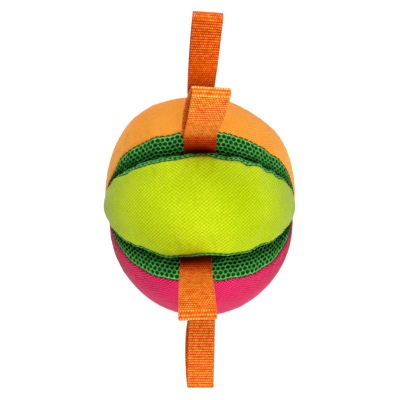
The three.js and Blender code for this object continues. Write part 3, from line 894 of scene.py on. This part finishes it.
def mesh_side(segment, label, side, normals, angle, materials):
    """An air-mesh side: side is the grid from the seam down to the inner edge."""
    net_points, net_faces, painted_crest_light, net_cloth = net_over(side, normals, angle)
    back_points, back_faces, back_cloth = backing_under(side, normals)
    start = len(net_points)
    faces = net_faces.tolist() + [tuple(start + i for i in f) for f in back_faces]
    points = turned(np.concatenate([net_points, back_points]), angle)
    piece = new_object(f"{segment['name']}_air_mesh_{label}", points, faces,
                       [materials["net"], materials["net_back"]])
    slots = np.repeat([0, 1], [len(net_faces), len(back_faces)])
    piece.data.polygons.foreach_set("material_index", slots)
    set_cloth_uv(piece, np.concatenate([net_cloth, back_cloth]))
    set_painted_yarn_light(piece, np.concatenate([painted_crest_light, np.zeros(len(back_points))]))
    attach(piece, "ball")
    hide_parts(f"{segment['name']}_mesh_side_{label}")


STUFFING_DEPTH = 3.1 * MM  # below the cloth's outer face
STUFFING_END_ROWS = 8
STUFFING_ROW_STEP = 4
STUFFING_COLUMN_STEP = 2


def stuffing(segment, grid, normals, angle, materials):
    """The fibre inside, following the cloth at a small depth."""
    coarse = np.s_[STUFFING_END_ROWS:ROWS - STUFFING_END_ROWS + 1:STUFFING_ROW_STEP, ::STUFFING_COLUMN_STEP]
    body = grid[coarse] - normals[coarse] * STUFFING_DEPTH
    crossed = np.sign(body[:, :, 1]) != np.sign(grid[coarse][:, :, 1])
    body[:, :, 1][crossed] = 0
    rows, columns = body.shape[:2]
    count = rows * columns
    last = count - columns
    points = np.concatenate([body.reshape(-1, 3), [body[0].mean(axis=0)], [body[-1].mean(axis=0)]])
    faces = [tuple(f) for f in grid_faces(rows, columns, wrap=True)]
    faces += [(count, (k + 1) % columns, k) for k in range(columns)]
    faces += [(count + 1, last + k, last + (k + 1) % columns) for k in range(columns)]
    pad = new_object(f"{segment['name']}_stuffing", turned(points, angle), faces, [materials["stuffing"]])
    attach(pad, "ball")
    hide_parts(f"{segment['name']}_filling")


STITCH_LENGTH = 3.0 * MM
STITCH_GAP = 0.7 * MM
STITCH_RADIUS = 0.42 * MM
STITCH_DEPTH = TUCK_DEPTH - 0.25 * MM
STITCH_SIDES = 6
STITCHES_LEFT_OUT = 2  # at each tip, where the seams run together
# Along a stitch: share of its length, share of its thickness.
STITCH_PROFILE = ((0.0, 0.35), (0.12, 0.85), (0.5, 1.0), (0.88, 0.85), (1.0, 0.35))


def stitch_ring(grid, normals, row, seam, radius):
    """A ring of points round the thread at a fractional row of a seam."""
    at_row, at_seam = np.array([row]), np.array([float(seam)])
    outward = unit(sample(normals, at_row, at_seam)[0])
    ahead = sample(grid, at_row + 0.05, at_seam)[0] - sample(grid, at_row - 0.05, at_seam)[0]
    across = np.cross(unit(ahead), outward)
    middle = sample(grid, at_row, at_seam)[0] - outward * STITCH_DEPTH
    turns = np.arange(STITCH_SIDES) * 2 * math.pi / STITCH_SIDES
    return [middle + radius * (math.cos(turn) * across + math.sin(turn) * outward) for turn in turns]


def seam_stitches(segment, grid, normals, angle, materials):
    """Lockstitches lying in the crease along both seams."""
    points, faces = [], []
    for seam in (0, CROWN_COLUMNS):
        lengths = travelled(grid[:, seam])
        count = int(lengths[-1] / (STITCH_LENGTH + STITCH_GAP))
        for stitch in range(STITCHES_LEFT_OUT, count - STITCHES_LEFT_OUT):
            first = stitch * (STITCH_LENGTH + STITCH_GAP)
            start = len(points)
            for share, bulge in STITCH_PROFILE:
                row = np.interp(first + share * STITCH_LENGTH, lengths, np.arange(len(lengths)))
                points += stitch_ring(grid, normals, row, seam, STITCH_RADIUS * bulge)
            faces += tube_faces(len(STITCH_PROFILE), STITCH_SIDES, start)
    piece = new_object(f"{segment['name']}_stitches", turned(np.array(points), angle), faces,
                       [materials[f"{segment['colour']}_thread"]])
    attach(piece, "ball")
    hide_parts(f"{segment['name']}_seam_thread")


def make_segment(index, segment, materials):
    angle = math.radians(segment["angle"])
    grid = seam_waves(pillow_grid(), index)
    grid = inflate(f"{segment['name']}_pad", grid, index)
    grid = keep_clear(hand_shape(grid, segment))
    if segment["name"] == "lime_bottom":
        grid = press_flat(grid, SPINE_Z)
    normals = ring_normals(grid)
    crown = slice(0, CROWN_COLUMNS + 1)
    plus = slice(CROWN_COLUMNS, INNER_EDGE + 1)
    minus = np.r_[0, np.arange(grid.shape[1] - 1, INNER_EDGE, -1)]
    outer_panel(segment, grid[:, crown], normals[:, crown], angle, materials)
    mesh_side(segment, "a", grid[:, plus], normals[:, plus], angle, materials)
    mesh_side(segment, "b", grid[:, minus], normals[:, minus], angle, materials)
    stuffing(segment, grid, normals, angle, materials)
    seam_stitches(segment, grid, normals, angle, materials)


# ---- the webbing straps ----
# A strap leaves its groove at one angle (leave), straight for a while (run), and its fold lies at
# another (lean), reach from the mouth. Along the spine it starts offset from the middle, its fold is
# skewed sideways and slants across the width, and each layer slips. Belly and fold are half gaps between
# the layers. Painted shading is an even change of tone per strap, painted to stand in for how each strap
# is lit, and how far above the mouth the painted groove shade begins. Angles are in degrees and lengths
# in mm.
PLAIN_STRAP = {"offset": 0, "skew": 0, "slant": 0, "slip": (0, 0), "belly": 2.7, "fold": 2.8, "painted_shading": (0, 1)}
STRAPS = [{**PLAIN_STRAP, **strap} for strap in (
    {"name": "top_rear", "groove": 30, "leave": -4, "lean": -10.6, "run": 18, "reach": 51,
     "offset": -0.5, "skew": 6.5, "slant": 2.2, "slip": (0, -2.0), "painted_shading": (0.06, 7)},
    {"name": "rear", "groove": 90, "leave": -36, "lean": -53, "run": 16, "reach": 67.5,
     "skew": 5, "slant": 1.7, "slip": (0, -0.7), "belly": 3.4, "fold": 3.8, "painted_shading": (-0.10, 2)},
    {"name": "bottom_rear", "groove": 150, "leave": -50, "lean": -57.5, "run": 9, "reach": 56,
     "slip": (0.6, 0), "belly": 1.9},
    {"name": "bottom_front", "groove": -150, "leave": 50, "lean": 57.5, "run": 9, "reach": 56,
     "slip": (-0.5, 0), "belly": 1.9},
    {"name": "front", "groove": -90, "leave": 0, "lean": 0, "run": 20, "reach": 53.5,
     "offset": 0.9, "skew": -1.3, "slip": (-2.4, 0)},
    {"name": "top_front", "groove": -30, "leave": 5, "lean": 11.6, "run": 16, "reach": 46.7,
     "offset": -3.0, "skew": 1.5, "slant": 1.8, "slip": (0.5, 0), "painted_shading": (-0.02, 1)},
)]
YARN_PITCH = 1.35 * MM  # across the webbing
PICK_PITCH = 1.9 * MM  # along it; every other row of dots is staggered
YARN_RELIEF = 0.17 * MM
DETAIL_STEP = 0.36 * MM
HIDDEN_STEP = 3.0 * MM
DETAIL_RADIUS = 64 * MM  # nearer the spine the strap is hidden in its groove
FOLD_CORNER = 0.9 * MM
FOLD_CORNER_POINTS = 5
FOLD_CORNER_MARGIN = 0.2  # radians left off a corner's ends
# Painted highlight where the webbing turns at its fold: the yarn is painted lighter there, where the corners
# catch the light.
FOLD_PAINTED_HIGHLIGHT = 0.16
PAINTED_GROOVE_SHADE = 0.72  # painted shade: the webbing is painted a deeper red where it goes down into the groove, where little light reaches
PAINTED_GROOVE_SHADE_LENGTH = 13 * MM  # over which that painted shade grows to its full depth
ACROSS_STEPS = 76
EDGE_WIDTH = 0.65 * MM  # the webbing's edge rounds off over this width
EDGE_ROUNDING = 0.9
SELVEDGE_WAVE = 0.12 * MM  # how far the turning yarns stand out of the edge
CURVE_POINTS = 160
LINE_STEP = 0.35 * MM
LINE_SMOOTHING = 40
PATH_STEP = 0.22 * MM


def resampled(line, step):
    lengths = travelled(line)
    wanted = np.linspace(0, lengths[-1], int(lengths[-1] / step) + 1)
    return np.stack([np.interp(wanted, lengths, line[:, i]) for i in range(line.shape[1])], axis=1)


def strap_centre_line(strap):
    """Points from the core out through the groove's mouth to the fold: (sideways, outward)."""
    def from_mouth(distance, degrees):
        angle = math.radians(degrees)
        return np.array([distance * MM * math.sin(angle), HINGE_RADIUS + distance * MM * math.cos(angle)])

    mouth = from_mouth(0, 0)
    control = from_mouth(strap["run"], strap["leave"])
    tip = from_mouth(strap["reach"], strap["lean"])
    t = np.linspace(0, 1, CURVE_POINTS)[1:, None]
    loop = (1 - t) ** 2 * mouth + 2 * t * (1 - t) * control + t ** 2 * tip
    outward = np.linspace(STRAP_INNER_RADIUS, HINGE_RADIUS, CURVE_POINTS + 20)
    root = np.stack([np.zeros_like(outward), outward], axis=1)
    line = resampled(np.concatenate([root, loop]), LINE_STEP)
    for _ in range(LINE_SMOOTHING):
        line[1:-1] = (line[:-2] + 2 * line[1:-1] + line[2:]) / 4
    return line


def strap_path(strap):
    """The webbing's own middle line: up one layer, round the squared fold and down the other.
    Columns: sideways, outward, slip along the spine."""
    line = strap_centre_line(strap)
    tangent = np.gradient(line, axis=0)
    tangent /= np.linalg.norm(tangent, axis=1, keepdims=True)
    across = np.stack([tangent[:, 1], -tangent[:, 0]], axis=1)
    lengths = travelled(line)
    mouth = HINGE_RADIUS - STRAP_INNER_RADIUS
    share = np.clip((lengths - mouth) / (lengths[-1] - mouth), 0, 1)
    belly = strap["belly"] * MM * np.sin(np.pi * share) ** 2
    widening = (strap["fold"] * MM - STEM_HALF_THICKNESS) * share
    half = STEM_HALF_THICKNESS + widening + belly - STRAP_THICKNESS / 2
    usable = lengths < lengths[-1] - FOLD_CORNER - STRAP_THICKNESS / 2
    misplaced = np.sin(np.pi * share ** 0.8) ** 0.7 * MM
    end, along, over = line[-1] - tangent[-1] * STRAP_THICKNESS / 2, tangent[-1], across[-1]

    def layer(sign, slip):
        return np.column_stack([line + across * (sign * half)[:, None], slip * misplaced])[usable]

    def corner(sign, first, last):
        centre = end - along * FOLD_CORNER + sign * over * (half[-1] - FOLD_CORNER)
        turns = np.linspace(first, last, FOLD_CORNER_POINTS)
        round_it = [math.sin(turn) * along - math.cos(turn) * over for turn in turns]
        return [[*(centre + FOLD_CORNER * direction), 0] for direction in round_it]

    one_slip, other_slip = strap["slip"]
    return resampled(np.concatenate([
        layer(-1, one_slip),
        corner(-1, FOLD_CORNER_MARGIN, math.pi / 2),
        corner(1, math.pi / 2, math.pi - FOLD_CORNER_MARGIN),
        layer(1, other_slip)[::-1]]), PATH_STEP)


def strap_rows(path):
    """Rows close together where the weave shows, and far apart inside the groove: each row's distance
    along the webbing, and its middle point."""
    lengths = travelled(path[:, :2])
    radius = np.linalg.norm(path[:, :2], axis=1)
    rows, position = [0.0], 0.0
    while position < lengths[-1]:
        hidden = np.interp(position, lengths, radius) < DETAIL_RADIUS
        position += HIDDEN_STEP if hidden else DETAIL_STEP
        rows.append(min(position, lengths[-1]))
    rows = np.array(rows)
    return rows, np.stack([np.interp(rows, lengths, path[:, i]) for i in range(3)], axis=1)


def fold_bend(rows, middle):
    """How sharply the webbing turns at each row, from 0 where it is straight to 1 at the fold."""
    heading = np.unwrap(np.arctan2(np.gradient(middle[:, 1]), np.gradient(middle[:, 0])))
    turn = np.abs(np.gradient(heading, rows)) * FOLD_CORNER
    return np.clip(turn, 0, 1) ** 3


def webbing_rings(strap, middle, a, half_thickness, relief, edge_wave):
    """A ring of points for each row: across the webbing's upper face and back across its under face."""
    tangent = np.gradient(middle[:, :2], axis=0)
    tangent /= np.linalg.norm(tangent, axis=1, keepdims=True) + 1e-12
    outward = np.stack([-tangent[:, 1], tangent[:, 0]], axis=1)
    from_mouth = np.linalg.norm(middle[:, :2] - [0, HINGE_RADIUS], axis=1)
    share = np.maximum(0, from_mouth - 2 * STEM_HALF_THICKNESS)
    share *= (middle[:, 1] > HINGE_RADIUS - 2 * MM) / (strap["reach"] * MM)
    shift = (strap["offset"] + strap["skew"] * share) * MM + middle[:, 2]
    shortened = strap["slant"] * MM * (share ** 2)[:, None] * a / STRAP_WIDTH
    lean = math.radians(strap["lean"])

    def face(sign):
        height = sign * half_thickness + relief
        x = a + edge_wave + shift[:, None]
        v = middle[:, 0:1] + outward[:, 0:1] * height - shortened * math.sin(lean)
        u = middle[:, 1:2] + outward[:, 1:2] * height - shortened * math.cos(lean)
        return np.stack([x, v, u], axis=-1)

    return np.concatenate([face(1), face(-1)[:, ::-1]], axis=1)


def make_strap(strap, materials):
    rows, middle = strap_rows(strap_path(strap))
    across = np.linspace(-1, 1, ACROSS_STEPS + 1) * STRAP_WIDTH / 2
    edge = np.clip((np.abs(across) - STRAP_WIDTH / 2 + EDGE_WIDTH) / EDGE_WIDTH, 0, 1)
    half_thickness = np.sqrt(1 - EDGE_ROUNDING * edge ** 2) * STRAP_THICKNESS / 2
    a, l = np.meshgrid(across, rows)
    rows_of_picks = np.cos(2 * np.pi * l / PICK_PITCH)
    staggered_dots = np.cos(2 * np.pi * a / YARN_PITCH) * np.cos(np.pi * l / PICK_PITCH)
    yarns = 0.5 * (rows_of_picks + staggered_dots) * (1 - 0.6 * edge)
    bent = fold_bend(rows, middle)
    relief = YARN_RELIEF * yarns * (1 - 0.5 * bent)[:, None]
    edge_wave = SELVEDGE_WAVE * rows_of_picks * np.sign(a) * edge
    rings = webbing_rings(strap, middle, a, half_thickness, relief, edge_wave)
    angle = math.radians(strap["groove"])
    piece = new_object(f"{strap['name']}_webbing", turned(rings.reshape(-1, 3), angle),
                       tube_faces(*rings.shape[:2]), [materials["webbing"]])
    orient_outward(piece)

    # Painted light of the yarns: painted highlights on their crowns and painted shade between them, the other
    # way round on the under face.
    painted_crest_light = 0.5 + 0.5 * yarns
    # Each strap's painted shading, the painted highlight at the fold and the painted groove shade, all added
    # to the yarn's painted light.
    painted_shading, painted_shade_start = strap["painted_shading"]
    # Painted shade from a little above the groove's mouth down into the groove.
    depth = (HINGE_RADIUS + painted_shade_start * MM - middle[:, 1]) / PAINTED_GROOVE_SHADE_LENGTH
    painted_light_and_shade = painted_shading + FOLD_PAINTED_HIGHLIGHT * bent - PAINTED_GROOVE_SHADE * np.clip(depth, 0, 1)
    set_painted_yarn_light(piece, np.concatenate([painted_crest_light, 1 - painted_crest_light[:, ::-1]], axis=1) + painted_light_and_shade[:, None])
    cloth = np.stack([np.concatenate([a, a[:, ::-1]], axis=1), np.concatenate([l, l], axis=1)], axis=-1)
    set_cloth_uv(piece, cloth.reshape(-1, 2))

    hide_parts(f"{strap['name']}_strap_root", f"{strap['name']}_strap_loop")
    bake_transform(piece)


def orient_outward(piece):
    """Flips a closed mesh whose faces point inwards."""
    mesh = piece.data
    mesh.calc_loop_triangles()
    corners = np.empty(len(mesh.loop_triangles) * 3, int)
    mesh.loop_triangles.foreach_get("vertices", corners)
    points = np.empty(len(mesh.vertices) * 3)
    mesh.vertices.foreach_get("co", points)
    a, b, c = points.reshape(-1, 3)[corners.reshape(-1, 3)].transpose(1, 0, 2)
    if np.einsum("ij,ij->i", a, np.cross(b, c)).sum() < 0:
        mesh.flip_normals()


# ---- the core ----
CORE_SIDES = 40
CORE_RINGS = 140
CORE_END_CAP = 1 * MM
TAPE_LAP = 9 * MM  # the tape climbs this far in one turn, and each turn laps the last
TAPE_STEP = 0.5 * MM
CORE_TAPER_LENGTH = 4 * MM
CORE_END_SHARE = 0.62  # of the radius, at the ends


def make_core(materials):
    """Wrapped tape that the segments' inner edges and the straps are sewn to."""
    between = np.linspace(-CORE_HALF_LENGTH + CORE_END_CAP, CORE_HALF_LENGTH - CORE_END_CAP, CORE_RINGS)
    angles = np.arange(CORE_SIDES) * 2 * math.pi / CORE_SIDES
    rings = []
    for x in [-CORE_HALF_LENGTH, *between, CORE_HALF_LENGTH]:
        from_end = (CORE_HALF_LENGTH - abs(x)) / CORE_TAPER_LENGTH
        taper = min(1.0, CORE_END_SHARE + (1 - CORE_END_SHARE) * from_end)
        lap = (x / TAPE_LAP + angles / (2 * math.pi)) % 1
        radius = (CORE_RADIUS - TAPE_STEP * lap) * taper
        ring = [np.full(CORE_SIDES, x), radius * np.sin(angles), SPINE_Z + radius * np.cos(angles)]
        rings.append(np.stack(ring, axis=1))
    faces = tube_faces(len(rings), CORE_SIDES)
    core = new_object("core_tape", np.concatenate(rings), faces, [materials["binding"]])
    orient_outward(core)
    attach(core, "ball")
    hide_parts("core_binding")


# ---- the whole object ----
add_camera()
add_stage()
materials = make_materials()
for index, segment in enumerate(SEGMENTS):
    make_segment(index, segment, materials)
for strap in STRAPS:
    make_strap(strap, materials)
make_core(materials)
